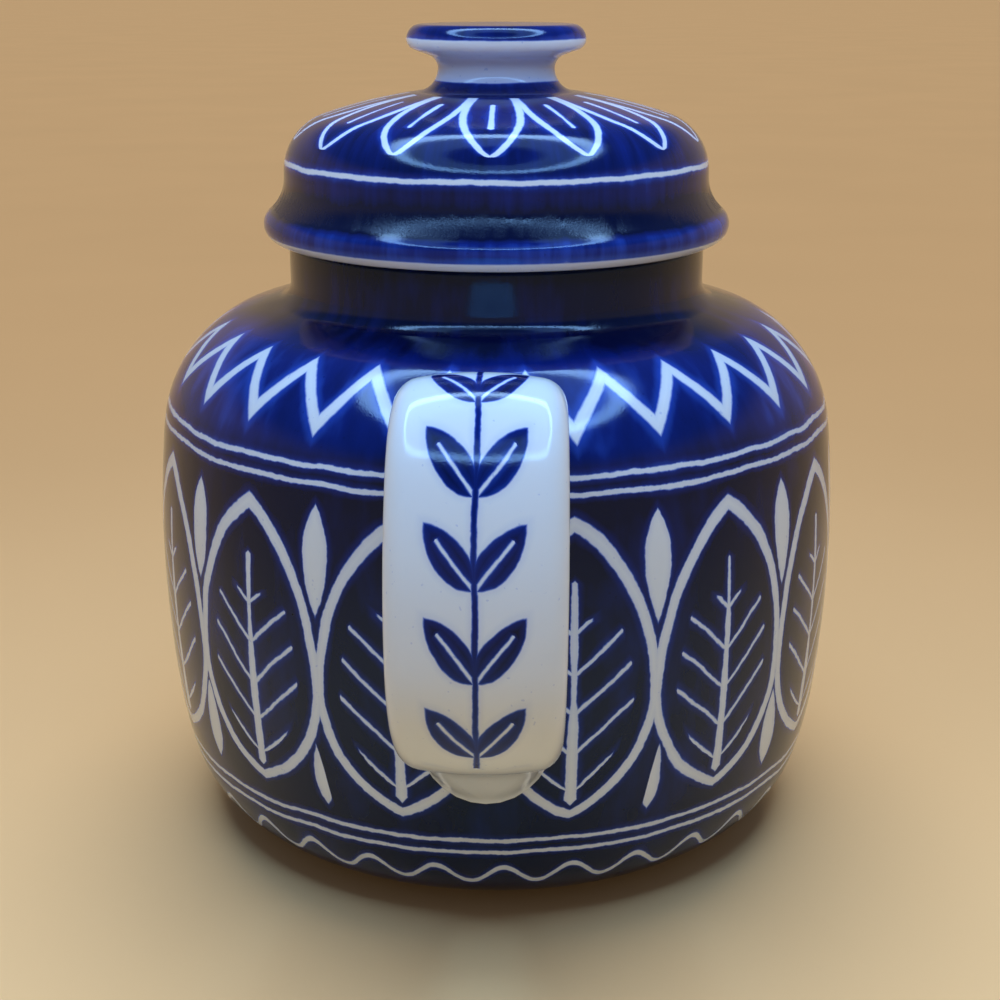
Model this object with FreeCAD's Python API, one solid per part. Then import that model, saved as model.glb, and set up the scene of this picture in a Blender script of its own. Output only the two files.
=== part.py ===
import FreeCAD, Part
import math
import os
from collections import namedtuple

from FreeCAD import Vector

# Teapot in millimetres. It stands on z = 0 with its axis on Z. The handle points to -Y, the spout to +Y.
# Outlines are drawn in the plane of the radius r and the height z. A heading of 0 degrees runs outward
# along r, 90 degrees runs up, and a growing heading turns left.

# Pot: cast shell with a low foot ring, a barrel wall, a round shoulder and a straight neck
WALL = 4.5
FOOT_HEIGHT = 2.0
FOOT_INNER_RADIUS = 41.5
FOOT_OUTER_RADIUS = 46.0
BASE_FLAT_RADIUS = 49.4
NECK_RADIUS = 44.6
NECK_FILLET = 4.5
NECK_RIM_HEIGHT = 130.0
NECK_RIM_ROUND = 1.5

# Radius of each arc up the pot's side, and the heading at its upper end
POT_SIDE_ARCS = (
    (22.0, 74.8),    # base corner
    (92.0, 84.4),    # lower wall
    (303.0, 90.0),   # belly, widest at its upper end
    (220.0, 97.6),   # upper wall
    (28.6, 150.6),   # round shoulder
    (13.0, 162.0),   # crown of the shoulder
)

# Handle and spout reach equally far from the axis
REACH = 119.0

# Handle: a broad crowned strap that swells at its two roots and narrows towards the lower one
STRAP_WIDTH = 30.1
STRAP_UPPER_WIDTH = 27.0
STRAP_LOWER_WIDTH = 24.0
STRAP_NARROWING = 4
STRAP_THICKNESS = 11.0
STRAP_CROWN_RADIUS = 60.0
STRAP_SECTIONS = 25
ROOT_FLARE = 12.0
ROOT_FLARE_LENGTH = 13.0
HANDLE_CREST_HEIGHT = 120.8
HANDLE_CREST_RADIUS = 22.0
HANDLE_ROOT_RISE = 36.0
HANDLE_ROOT_RUN = 22.0
HANDLE_BACK_RADIUS = 59.0
HANDLE_BACK_HEADING = -58.0
HANDLE_CORNER_RADIUS = 28.3
HANDLE_RETURN_HEADING = -155.0
HANDLE_RETURN_RUN = 36.0

# Spout: a tapering curved tube over a pierced strainer in the pot's wall
SPOUT_START = (58.0, 53.0)
SPOUT_START_HEADING = 24.0
SPOUT_BEND_RADIUS = 60.0
SPOUT_TIP_HEADING = 56.0
SPOUT_ROOT_RADIUS = 27.0
SPOUT_TIP_RADIUS = 10.5
SPOUT_TAPER = 1.5
SPOUT_WALL = 3.8
SPOUT_SECTIONS = 7
STRAINER_HOLE_RADIUS = 2.5
STRAINER_RING_RADIUS = 10.0
STRAINER_RING_HOLES = 6
STRAINER_HEIGHT = 61.5

# Lid: it rests on the neck's rim, with a flange that hangs inside the neck
LID_WALL = 4.0
LID_BEAD_RADIUS = 3.4
LID_RIM_RADIUS = 49.8
LID_BEAD_HEADING = 140.0
LID_FLARE_RADIUS = 9.5
LID_WALL_RUN = 0.7
LID_SHOULDER_RADIUS = 12.2
LID_SHOULDER_HEADING = 162.0
LID_DOME_RADIUS = 120.0
FLANGE_OUTER_RADIUS = 39.0
FLANGE_INNER_RADIUS = 35.6
FLANGE_DEPTH = 12.0
FLANGE_ROUND = 1.2
HOLLOW_BEND_RADIUS = 4.0
HOLLOW_FLARE_HEADING = 45.0
VENT_RADIUS = 2.0
VENT_DISTANCE = 24.0

# Knob: a waisted stem under a round disc
KNOB_BASE_RADIUS = 16.4
KNOB_WAIST_RADIUS = 12.3
KNOB_FLARE_RADIUS = 2.8
KNOB_UNDERSIDE_HEADING = 20.0
KNOB_DISC_RADIUS = 18.8
KNOB_EDGE_RADIUS = 2.2
KNOB_TOP_RADIUS = 3.0
KNOB_TOP_HEADING = 178.5


def meridian(r, z):
    """Point of the half plane that is turned about Z."""
    return Vector(r, 0, z)


def handle_side(r, z):
    """Point of the handle's plane, with r measured towards -Y."""
    return Vector(0, -r, z)


def spout_side(r, z):
    """Point of the spout's plane, with r measured towards +Y."""
    return Vector(0, r, z)


Run = namedtuple("Run", "r z heading length bend")


class Outline:
    """Line drawn run by run: straight on, along a tangent arc, or to a corner point."""

    def __init__(self, start, heading, plane=meridian):
        self.r, self.z = start
        self.heading = heading
        self.plane = plane
        self.edges = []
        self.runs = []

    def corner(self, r, z):
        self.edges.append(Part.makeLine(self.plane(self.r, self.z), self.plane(r, z)))
        self.heading = math.degrees(math.atan2(z - self.z, r - self.r))
        self.runs.append(Run(self.r, self.z, self.heading, math.dist((self.r, self.z), (r, z)), 0.0))
        self.r, self.z = r, z

    def straight(self, length):
        angle = math.radians(self.heading)
        self.corner(self.r + length * math.cos(angle), self.z + length * math.sin(angle))

    def arc(self, radius, heading):
        bend = math.copysign(radius, heading - self.heading)
        length = math.radians(heading - self.heading) * bend
        run = Run(self.r, self.z, self.heading, length, bend)
        spots = [spot_on_run(run, share * length) for share in (0.0, 0.5, 1.0)]
        self.edges.append(Part.Arc(*[self.plane(r, z) for r, z, _ in spots]).toShape())
        self.runs.append(run)
        self.r, self.z, self.heading = spots[2]

    def arc_width(self, radius, heading):
        """How far outward an arc to this heading would carry the line."""
        gain = math.sin(math.radians(heading)) - math.sin(math.radians(self.heading))
        return math.copysign(radius, heading - self.heading) * gain

    def straight_to_arc(self, radius, heading, end_r):
        """Straight on until an arc to this heading ends at radius end_r, then that arc."""
        gap = end_r - self.arc_width(radius, heading) - self.r
        self.straight(gap / math.cos(math.radians(self.heading)))
        self.arc(radius, heading)

    def length(self):
        return sum(run.length for run in self.runs)

    def spot(self, distance):
        """Radius, height and heading at a distance along the line."""
        for run in self.runs[:-1]:
            if distance < run.length:
                return spot_on_run(run, distance)
            distance -= run.length
        return spot_on_run(self.runs[-1], distance)


def spot_on_run(run, distance):
    """Radius, height and heading at a distance along one straight or bent run."""
    start = math.radians(run.heading)
    if run.bend == 0.0:
        return run.r + distance * math.cos(start), run.z + distance * math.sin(start), run.heading
    end = start + distance / run.bend
    r = run.r + run.bend * (math.sin(end) - math.sin(start))
    z = run.z - run.bend * (math.cos(end) - math.cos(start))
    return r, z, math.degrees(end)


def turned(*outlines):
    """Solid of revolution about Z, closed along the axis where the outlines leave it open."""
    edges = [edge for outline in outlines for edge in outline.edges]
    wire = Part.Wire(Part.__sortEdges__(edges))
    if not wire.isClosed():
        ends = [vertex.Point for vertex in wire.OrderedVertexes]
        wire = Part.Wire(Part.__sortEdges__(edges + [Part.makeLine(ends[-1], ends[0])]))
    return Part.Face(wire).revolve(Vector(0, 0, 0), Vector(0, 0, 1), 360)


def pot_side(inset):
    """Pot's side from the flat base to the neck, moved inward by inset."""
    line = Outline((BASE_FLAT_RADIUS, FOOT_HEIGHT + inset), 0.0)
    for radius, heading in POT_SIDE_ARCS:
        line.arc(radius - inset, heading)
    line.straight_to_arc(NECK_FILLET + inset, 90.0, NECK_RADIUS - inset)
    return line


def pot_outer():
    """Outside of the pot, from the axis under the base to the rounded neck rim."""
    base = Outline((0.0, FOOT_HEIGHT), 0.0)
    base.corner(FOOT_INNER_RADIUS, FOOT_HEIGHT)
    base.corner(FOOT_INNER_RADIUS, 0.0)
    base.corner(FOOT_OUTER_RADIUS, 0.0)
    base.corner(FOOT_OUTER_RADIUS, FOOT_HEIGHT)
    base.corner(BASE_FLAT_RADIUS, FOOT_HEIGHT)
    side = pot_side(0.0)
    side.straight(NECK_RIM_HEIGHT - NECK_RIM_ROUND - side.z)
    side.arc(NECK_RIM_ROUND, 180.0)
    return base, side


def pot_filled():
    """Pot's outer form without a hollow, which trims what is luted onto it."""
    base, side = pot_outer()
    side.corner(0.0, side.z)
    return turned(base, side)


def pot_body():
    """Shell of even wall, with the strainer holes drilled towards the spout."""
    base, outside = pot_outer()
    outside.straight(WALL - 2 * NECK_RIM_ROUND)
    outside.arc(NECK_RIM_ROUND, 270.0)
    inside = pot_side(WALL)
    inside.corner(inside.r, outside.z)
    floor = Outline((0.0, FOOT_HEIGHT + WALL), 0.0)
    floor.corner(BASE_FLAT_RADIUS, FOOT_HEIGHT + WALL)
    shell = turned(base, outside, inside, floor)
    return shell.cut(Part.makeCompound(strainer_drills()))


def strainer_drills():
    """Rods along Y that pierce the wall: one in the middle and a ring around it."""
    spots = [(0.0, STRAINER_HEIGHT)]
    for index in range(STRAINER_RING_HOLES):
        angle = 2 * math.pi * index / STRAINER_RING_HOLES
        across = STRAINER_RING_RADIUS * math.cos(angle)
        spots.append((across, STRAINER_HEIGHT + STRAINER_RING_RADIUS * math.sin(angle)))
    drills = []
    for x, z in spots:
        start = Vector(x, NECK_RADIUS, z)
        drills.append(Part.makeCylinder(STRAINER_HOLE_RADIUS, REACH - NECK_RADIUS, start, Vector(0, 1, 0)))
    return drills


def strap_line(start):
    """Strap's centre line from inside the shoulder, over the crest, down the back and into the wall."""
    half = STRAP_THICKNESS / 2
    line = Outline(start, HANDLE_ROOT_RISE, handle_side)
    line.straight(HANDLE_ROOT_RUN)
    line.arc(HANDLE_CREST_RADIUS - half, 0.0)
    line.arc(HANDLE_CREST_RADIUS - half, HANDLE_BACK_HEADING)
    line.arc(HANDLE_BACK_RADIUS - half, -90.0)
    line.arc(HANDLE_CORNER_RADIUS - half, HANDLE_RETURN_HEADING)
    line.straight(HANDLE_RETURN_RUN)
    return line


def strap_section(spot, width, thickness):
    """Four tangent arcs square to the line: a crowned back and front, and two round edges."""
    r, z, heading = spot
    angle = math.radians(heading)
    middle = handle_side(r, z)
    out = Vector(0, math.sin(angle), math.cos(angle))
    across = Vector(1, 0, 0)
    half = width / 2
    crown_drop = STRAP_CROWN_RADIUS - thickness / 2
    edge = (half ** 2 + crown_drop ** 2 - STRAP_CROWN_RADIUS ** 2) / (2 * (half - STRAP_CROWN_RADIUS))
    reach = STRAP_CROWN_RADIUS / (STRAP_CROWN_RADIUS - edge)
    meet_x = (half - edge) * reach
    meet_z = crown_drop * (reach - 1)
    loop = ((half, 0), (meet_x, meet_z), (0, thickness / 2), (-meet_x, meet_z))
    loop += tuple((-x, -level) for x, level in loop)
    points = [middle + across * x + out * level for x, level in loop]
    arcs = []
    for first in range(1, len(points), 2):
        last = (first + 2) % len(points)
        arcs.append(Part.Arc(points[first], points[(first + 1) % len(points)], points[last]).toShape())
    return Part.Wire(arcs)


def handle(pot):
    """Strap lofted through its sections and trimmed where it is luted to the pot."""
    half = STRAP_THICKNESS / 2
    trial = strap_line((0.0, 0.0))
    crest = trial.runs[2]
    corner = trial.runs[4]
    line = strap_line((REACH - half - corner.r, HANDLE_CREST_HEIGHT - half - crest.z))
    length = line.length()
    sections = []
    for index in range(STRAP_SECTIONS):
        share = index / (STRAP_SECTIONS - 1)
        walked = share * length
        nearest_root = min(walked, length - walked)
        swell = ROOT_FLARE * math.exp(-(nearest_root / ROOT_FLARE_LENGTH) ** 2)
        width = STRAP_WIDTH - (STRAP_WIDTH - STRAP_LOWER_WIDTH) * share ** STRAP_NARROWING
        width -= (STRAP_WIDTH - STRAP_UPPER_WIDTH) * (1 - share) ** STRAP_NARROWING
        sections.append(strap_section(line.spot(walked), width, STRAP_THICKNESS + swell))
    return Part.makeLoft(sections, True, False).cut(pot)


def spout_line():
    """Centre line of the spout from inside the pot to the middle of the tip, whose edge is at full reach."""
    line = Outline(SPOUT_START, SPOUT_START_HEADING, spout_side)
    line.arc(SPOUT_BEND_RADIUS, SPOUT_TIP_HEADING)
    tip = math.radians(SPOUT_TIP_HEADING)
    line.straight((REACH - SPOUT_TIP_RADIUS * math.sin(tip) - line.r) / math.cos(tip))
    return line


def spout_form(inset):
    """Tube of rings along the line, the radius falling from root to tip, less the inset."""
    line = spout_line()
    rings = []
    for index in range(SPOUT_SECTIONS):
        share = index / (SPOUT_SECTIONS - 1)
        radius = SPOUT_TIP_RADIUS + (SPOUT_ROOT_RADIUS - SPOUT_TIP_RADIUS) * (1 - share) ** SPOUT_TAPER
        r, z, heading = line.spot(share * line.length())
        angle = math.radians(heading)
        circle = Part.Circle(spout_side(r, z), Vector(0, math.cos(angle), math.sin(angle)), radius - inset)
        rings.append(Part.Wire([circle.toShape()]))
    return Part.makeLoft(rings, True, False)


def spout(pot):
    """Hollow tube, trimmed where it is luted over the strainer."""
    return spout_form(0.0).cut(spout_form(SPOUT_WALL)).cut(pot)


def lid_wall():
    """Lid's outside from its seat, round the rim bead and up the wall to its shoulder."""
    line = Outline((FLANGE_OUTER_RADIUS, NECK_RIM_HEIGHT), 0.0)
    line.corner(LID_RIM_RADIUS - LID_BEAD_RADIUS, NECK_RIM_HEIGHT)
    line.arc(LID_BEAD_RADIUS, LID_BEAD_HEADING)
    line.arc(LID_FLARE_RADIUS, 90.0)
    line.straight(LID_WALL_RUN)
    return line


def add_dome(line, inset):
    """Round shoulder and shallow dome, moved inward by inset, up to the knob's base."""
    line.arc(LID_SHOULDER_RADIUS - inset, LID_SHOULDER_HEADING)
    radius = LID_DOME_RADIUS - inset
    slope = math.sin(math.radians(LID_SHOULDER_HEADING)) + (KNOB_BASE_RADIUS - line.r) / radius
    line.arc(radius, 180.0 - math.degrees(math.asin(slope)))


def lid_outer():
    """Whole outside of the lid, up to the flat seat under the knob."""
    line = lid_wall()
    add_dome(line, 0.0)
    return line


def lid_inner():
    """Flange and hollow of the lid, from the seat down round the flange and up to the axis."""
    wall = lid_wall()
    line = Outline((FLANGE_OUTER_RADIUS, NECK_RIM_HEIGHT), -90.0)
    line.straight(FLANGE_DEPTH - FLANGE_ROUND)
    line.arc(FLANGE_ROUND, -180.0)
    line.straight(FLANGE_OUTER_RADIUS - FLANGE_INNER_RADIUS - 2 * FLANGE_ROUND)
    line.arc(FLANGE_ROUND, -270.0)
    line.heading = 90.0
    line.straight(NECK_RIM_HEIGHT - line.z)
    line.arc(HOLLOW_BEND_RADIUS, HOLLOW_FLARE_HEADING)
    line.straight_to_arc(HOLLOW_BEND_RADIUS, 90.0, wall.r - LID_WALL)
    line.straight(wall.z - line.z)
    add_dome(line, LID_WALL)
    line.corner(0.0, line.z)
    return line


def lid_shell():
    """Hollow lid with its flange and a vent hole towards the spout."""
    outside = lid_outer()
    outside.corner(0.0, outside.z)
    shell = turned(outside, lid_inner())
    vent = Part.makeCylinder(VENT_RADIUS, outside.z, Vector(0, VENT_DISTANCE, 0))
    return shell.cut(vent)


def lid_knob():
    """Solid knob that stands on the flat seat in the middle of the dome."""
    dome = lid_outer()
    line = Outline((dome.r, dome.z), dome.heading)
    fillet = (KNOB_BASE_RADIUS - KNOB_WAIST_RADIUS) / (1 - math.sin(math.radians(dome.heading)))
    line.arc(fillet, 90.0)
    line.arc(KNOB_FLARE_RADIUS, KNOB_UNDERSIDE_HEADING)
    line.straight_to_arc(KNOB_EDGE_RADIUS, 90.0, KNOB_DISC_RADIUS)
    line.arc(KNOB_TOP_RADIUS, KNOB_TOP_HEADING)
    line.straight(-line.r / math.cos(math.radians(line.heading)))
    base = Outline((0.0, dome.z), 0.0)
    base.corner(dome.r, dome.z)
    return turned(base, line)


def main():
    os.makedirs("parts", exist_ok=True)
    pot = pot_filled()
    nodes = {
        "pot_body": pot_body(),
        "handle": handle(pot),
        "spout": spout(pot),
        "lid_shell": lid_shell(),
        "lid_knob": lid_knob(),
    }
    for name, shape in nodes.items():
        solid = shape.Solids[0]
        solid.exportStep("parts/" + name + ".step")
        box = solid.BoundBox
        sides = (box.XMin, box.XMax, box.YMin, box.YMax, box.ZMin, box.ZMax)
        print(name, len(shape.Solids), solid.isValid(), round(solid.Volume), [round(side, 2) for side in sides])


main()
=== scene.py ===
import math

import bpy
import numpy as np
from bpy.props import FloatProperty, FloatVectorProperty, IntProperty, PointerProperty
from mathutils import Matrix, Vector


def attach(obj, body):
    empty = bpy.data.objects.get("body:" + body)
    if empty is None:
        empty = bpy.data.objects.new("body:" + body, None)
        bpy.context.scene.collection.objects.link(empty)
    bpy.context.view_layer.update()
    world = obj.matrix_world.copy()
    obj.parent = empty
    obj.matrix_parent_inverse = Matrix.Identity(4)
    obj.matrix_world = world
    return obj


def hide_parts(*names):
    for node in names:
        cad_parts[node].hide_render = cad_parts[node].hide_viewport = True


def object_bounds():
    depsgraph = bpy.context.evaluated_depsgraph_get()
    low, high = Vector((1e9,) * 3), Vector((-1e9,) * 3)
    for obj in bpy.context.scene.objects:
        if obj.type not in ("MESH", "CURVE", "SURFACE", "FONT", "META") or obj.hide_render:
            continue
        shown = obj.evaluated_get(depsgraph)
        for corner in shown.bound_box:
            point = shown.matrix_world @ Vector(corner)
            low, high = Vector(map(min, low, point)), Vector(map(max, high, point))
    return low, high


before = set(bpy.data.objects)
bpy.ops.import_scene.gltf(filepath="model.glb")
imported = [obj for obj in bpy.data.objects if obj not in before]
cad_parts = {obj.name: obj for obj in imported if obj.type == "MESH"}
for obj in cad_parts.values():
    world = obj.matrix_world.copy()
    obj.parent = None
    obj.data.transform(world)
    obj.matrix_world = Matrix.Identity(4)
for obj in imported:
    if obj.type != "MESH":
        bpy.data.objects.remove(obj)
CAD_BOX = [list(corner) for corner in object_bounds()]

bl_info = {
    "name": "Teapot",
    "version": (1, 0, 0),
    "blender": (4, 5, 0),
    "location": "View3D > Sidebar > Teapot",
    "description": "Teapot in white glaze with brushed cobalt, built over its CAD frame",
    "category": "Add Mesh",
}

MM = 0.001

# Longest step and widest turn between two points of a profile
SAMPLE_STEP = 1.6 * MM
SAMPLE_TURN = math.radians(7.0)

# Columns round a turned piece, sides of a cutting rod, and the angle from which an edge is shaded sharp
COLUMNS = 160
ROD_SIDES = 28
SHARP_ANGLE = math.radians(38.0)

# How far a luted piece's edge lies under the pot's surface
SINK = 0.4 * MM

# UV map of every piece: round the piece or across the strap, and the distance along its profile
UV_NAME = "glaze"

# Finishes that several pieces share
WHITE, CLAY = "white_glaze", "bare_clay"

# Radius of each arc up the pot's side in millimetres, and the heading in degrees at its upper end
POT_SIDE_ARCS = ((22.0, 74.8), (92.0, 84.4), (303.0, 90.0), (220.0, 97.6), (28.6, 150.6), (13.0, 162.0))


def number(name, description, value, **kind):
    """Number for a property group; the functions below give it a unit."""
    return FloatProperty(name=name, description=description, default=value, **kind)


def length(name, description, millimetres):
    return number(name, description, millimetres * MM, unit="LENGTH", precision=4)


def angle(name, description, degrees):
    return number(name, description, math.radians(degrees), subtype="ANGLE")


def factor(name, description, value):
    return number(name, description, value, min=0.0, max=1.0, subtype="FACTOR")


def power(name, description, watts):
    return number(name, description, watts, min=0.0, unit="POWER")


def count(name, description, amount):
    return IntProperty(name=name, description=description, default=amount, min=1)


def colour(name, description, shade):
    kind = {"size": 3, "min": 0.0, "max": 1.0, "subtype": "COLOR"}
    return FloatVectorProperty(name=name, description=description, default=shade, **kind)


def placed(name, data):
    """New object at the origin, in the scene."""
    thing = bpy.data.objects.new(name, data)
    bpy.context.scene.collection.objects.link(thing)
    return thing


class PotProperties(bpy.types.PropertyGroup):
    wall: length("Wall", "Thickness of the cast wall", 4.5)
    foot_height: length("Foot height", "How far the foot ring stands below the base", 2.0)
    foot_inner: length("Foot inside", "Inner radius of the foot ring", 41.5)
    foot_outer: length("Foot outside", "Outer radius of the foot ring", 46.0)
    foot_round: length("Foot rounding", "Rounding of the foot ring's edges", 0.6)
    base_flat: length("Base flat", "Radius of the base where the side begins to turn up", 49.4)
    neck_radius: length("Neck radius", "Outer radius of the straight neck", 44.6)
    neck_fillet: length("Neck fillet", "Hollow rounding between shoulder and neck", 4.5)
    rim_height: length("Rim height", "Height of the neck's rim above the table", 130.0)
    rim_round: length("Rim rounding", "Rounding of the neck's rim", 1.5)
    strainer_height: length("Strainer height", "Height of the middle strainer hole", 61.5)
    strainer_hole: length("Strainer hole", "Radius of each strainer hole", 2.5)
    strainer_ring: length("Strainer ring", "Radius of the ring of strainer holes", 10.0)
    strainer_holes: count("Strainer holes", "Holes in the ring round the middle one", 6)


class HandleProperties(bpy.types.PropertyGroup):
    width: length("Width", "Width of the strap at its back", 30.1)
    upper_width: length("Upper width", "Width of the strap at its upper root", 27.0)
    lower_width: length("Lower width", "Width of the strap at its lower root", 24.0)
    narrowing: count("Narrowing", "How late the strap narrows towards its roots", 4)
    thickness: length("Thickness", "Thickness of the strap", 11.0)
    crown: length("Crown", "Radius of the strap's crowned faces", 60.0)
    root_flare: length("Root flare", "Extra thickness at each root", 12.0)
    flare_length: length("Flare length", "How far the root's swelling runs along the strap", 13.0)
    fillet: length("Luting fillet", "Extra swelling where slip fills the joint", 1.4)
    fillet_fade: length("Fillet fade", "How far the fillet runs along the strap", 1.6)
    crest_height: length("Crest height", "Height of the strap's highest point", 120.8)
    crest_radius: length("Crest radius", "Outer radius of the bend at the crest", 22.0)
    back_radius: length("Back radius", "Outer radius of the long bend at the back", 59.0)
    corner_radius: length("Corner radius", "Outer radius of the lower bend", 28.3)
    root_run: length("Root run", "Straight run of the upper root", 22.0)
    return_run: length("Return run", "Straight run of the lower root", 36.0)
    root_rise: angle("Root rise", "Slope of the upper root", 36.0)
    back_heading: angle("Back heading", "Direction of the strap where the back bend begins", -58.0)
    return_heading: angle("Return heading", "Direction of the lower root", -155.0)


class SpoutProperties(bpy.types.PropertyGroup):
    start_r: length("Start radius", "Distance of the centre line's start from the pot's axis", 58.0)
    start_z: length("Start height", "Height of the centre line's start", 53.0)
    start_heading: angle("Start heading", "Slope of the spout at its root", 24.0)
    tip_heading: angle("Tip heading", "Slope of the spout at its tip", 56.0)
    bend_radius: length("Bend radius", "Radius of the centre line's bend", 60.0)
    root_radius: length("Root radius", "Radius of the spout at its start", 27.0)
    tip_radius: length("Tip radius", "Radius of the spout at its tip", 10.5)
    wall: length("Wall", "Thickness of the spout's wall", 3.8)
    taper: number("Taper", "How early the spout slims, 1 is a straight cone", 1.5)
    fillet: length("Luting fillet", "Extra swelling where slip fills the joint", 3.0)
    fillet_fade: length("Fillet fade", "How far the fillet runs along the spout", 2.2)


class LidProperties(bpy.types.PropertyGroup):
    wall: length("Wall", "Thickness of the lid's wall", 4.0)
    bead: length("Rim bead", "Radius of the rolled rim", 3.4)
    rim_radius: length("Rim radius", "Outer radius of the rolled rim", 49.8)
    flare: length("Flare", "Radius of the hollow curve above the rim", 9.5)
    wall_run: length("Wall run", "Upright run of the wall", 0.7)
    shoulder: length("Shoulder", "Radius of the lid's shoulder", 12.2)
    dome: length("Dome", "Radius of the shallow dome", 120.0)
    flange_outer: length("Flange outside", "Outer radius of the flange in the neck", 39.0)
    flange_inner: length("Flange inside", "Inner radius of the flange", 35.6)
    flange_depth: length("Flange depth", "How far the flange hangs into the neck", 12.0)
    flange_round: length("Flange rounding", "Rounding of the flange's edge", 1.2)
    hollow_bend: length("Hollow bend", "Radius of the bends inside the lid", 4.0)
    vent_radius: length("Vent radius", "Radius of the vent hole", 2.0)
    vent_distance: length("Vent distance", "Distance of the vent from the axis", 24.0)
    bead_heading: angle("Bead heading", "Direction where the bead meets the flare", 140.0)
    hollow_flare: angle("Hollow flare", "Slope of the hollow above the flange", 45.0)
    shoulder_heading: angle("Shoulder heading", "Direction where the shoulder meets the dome", 162.0)


class KnobProperties(bpy.types.PropertyGroup):
    base_radius: length("Base radius", "Radius where the knob's fillet meets the dome", 16.4)
    waist_radius: length("Waist radius", "Radius of the stem's waist", 12.3)
    flare: length("Flare", "Radius of the curve under the disc", 2.8)
    disc_radius: length("Disc radius", "Outer radius of the disc", 18.8)
    edge: length("Edge rounding", "Rounding of the disc's lower edge", 2.2)
    top: length("Top rounding", "Rounding of the disc's upper edge", 3.0)
    underside_heading: angle("Underside heading", "Slope of the disc's underside", 20.0)
    top_heading: angle("Top heading", "Direction of the nearly flat top", 178.5)


class GlazeProperties(bpy.types.PropertyGroup):
    white: colour("White glaze", "Clear glaze over the white body", (0.68, 0.76, 0.88))
    wash: colour("Cobalt wash", "Faint blue that bleeds past a brushed edge", (0.34, 0.45, 0.78))
    thin: colour("Thin cobalt", "Cobalt where the brush left little", (0.016, 0.060, 0.44))
    cobalt: colour("Cobalt", "Cobalt at its usual strength", (0.003, 0.012, 0.15))
    thick: colour("Thick cobalt", "Cobalt where it has pooled", (0.0008, 0.0026, 0.030))
    glint: colour("Glint", "Tint of what the glaze mirrors", (0.48, 0.70, 1.0))
    mirror: factor("Mirror", "How strongly the glaze mirrors, 0.5 is plain glass", 0.48)
    clay: colour("Bare clay", "Unglazed foot and seat", (0.62, 0.56, 0.47))
    gloss: factor("Gloss roughness", "Roughness of the fired glaze", 0.075)


class StageProperties(bpy.types.PropertyGroup):
    floor: colour("Floor", "Pale warm floor", (0.82, 0.575, 0.318))
    wall: colour("Wall", "Plain pale wall beyond the floor", (0.455, 0.338, 0.205))
    sky: colour("Sky", "Dim even light from above", (0.09, 0.13, 0.21))
    floor_light: number("Floor light", "Strength of the light on the floor", 1.6)
    floor_light_colour: colour("Floor light colour", "Warm tint of the light on the floor", (1.0, 0.90, 0.75))
    floor_light_height: angle("Floor light height", "Height of that light behind the pot", 68.0)
    floor_light_spread: angle("Floor light spread", "Softness of that light", 55.0)
    ring_light: power("Ring light", "Power of the ring lamp overhead", 2.0)
    ring_colour: colour("Ring colour", "Cool daylight of the ring lamp", (0.48, 0.725, 1.0))
    ring_height: length("Ring height", "Height of the ring lamp above the floor", 272.0)
    ring_ahead: length("Ring ahead", "How far the ring lamp stands in front of the pot's axis", 100.0)
    ring_size: length("Ring size", "Diameter of the ring lamp", 265.0)
    lens: number("Lens", "Focal length of the camera", 57.6, unit="CAMERA")
    distance: length("Distance", "Camera's distance from the pot's axis along the floor", 347.65)
    height: length("Height", "Camera's height above the floor", 183.1)
    azimuth: angle("Azimuth", "Camera's turn round the pot from the handle's side", 1.7)
    pitch: angle("Pitch", "Camera's tilt below the level", 18.1)
    yaw: angle("Yaw", "Camera's aim beside the pot's axis", -0.125)


def even_angles(number):
    """So many even angles of one full turn."""
    return np.arange(number) * 2 * math.pi / number


def distances(points):
    """Distance walked to each point of a line in the plane."""
    return np.append(0.0, np.cumsum(np.hypot(*np.diff(points[:, :2], axis=0).T)))


class Profile:
    """Line of straight runs and tangent arcs in the plane of the radius r and the height z.

    A straight run is the start plus the distance times the direction. Along an arc the heading turns
    evenly with the distance, about a centre square to the line. Headings are in radians: 0 runs outward
    along r, a quarter turn runs up.
    """

    def __init__(self, r, z, heading=0.0):
        self.r, self.z, self.heading = r, z, heading
        self.runs = [np.array([[r, z, heading]])]

    def add(self, r, z, heading):
        self.runs.append(np.stack(np.broadcast_arrays(r, z, heading), axis=1)[1:])
        self.r, self.z, self.heading = self.runs[-1][-1]

    def straight(self, distance):
        walked = np.linspace(0.0, distance, max(2, math.ceil(abs(distance) / SAMPLE_STEP) + 1))
        r = self.r + walked * math.cos(self.heading)
        self.add(r, self.z + walked * math.sin(self.heading), self.heading)

    def corner(self, r, z):
        self.heading = math.atan2(z - self.z, r - self.r)
        self.straight(math.hypot(r - self.r, z - self.z))

    def arc(self, radius, heading):
        turn = heading - self.heading
        bend = math.copysign(radius, turn)
        steps = math.ceil(abs(turn) * max(radius / SAMPLE_STEP, 1.0 / SAMPLE_TURN)) + 2
        headings = np.linspace(self.heading, heading, steps)
        r = self.r + bend * (np.sin(headings) - math.sin(self.heading))
        self.add(r, self.z - bend * (np.cos(headings) - math.cos(self.heading)), headings)

    def straight_to_arc(self, radius, heading, end_r):
        """Straight on until an arc to this heading ends at radius end_r, then that arc."""
        bend = math.copysign(radius, heading - self.heading)
        width = bend * (math.sin(heading) - math.sin(self.heading))
        self.straight((end_r - width - self.r) / math.cos(self.heading))
        self.arc(radius, heading)

    def table(self):
        return np.concatenate(self.runs)

    def total(self):
        return distances(self.table())[-1]

    def at(self, distance):
        """Radius, height and heading at an array of distances along the line."""
        table = self.table()
        return [np.interp(distance, distances(table), column) for column in table.T]


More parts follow.
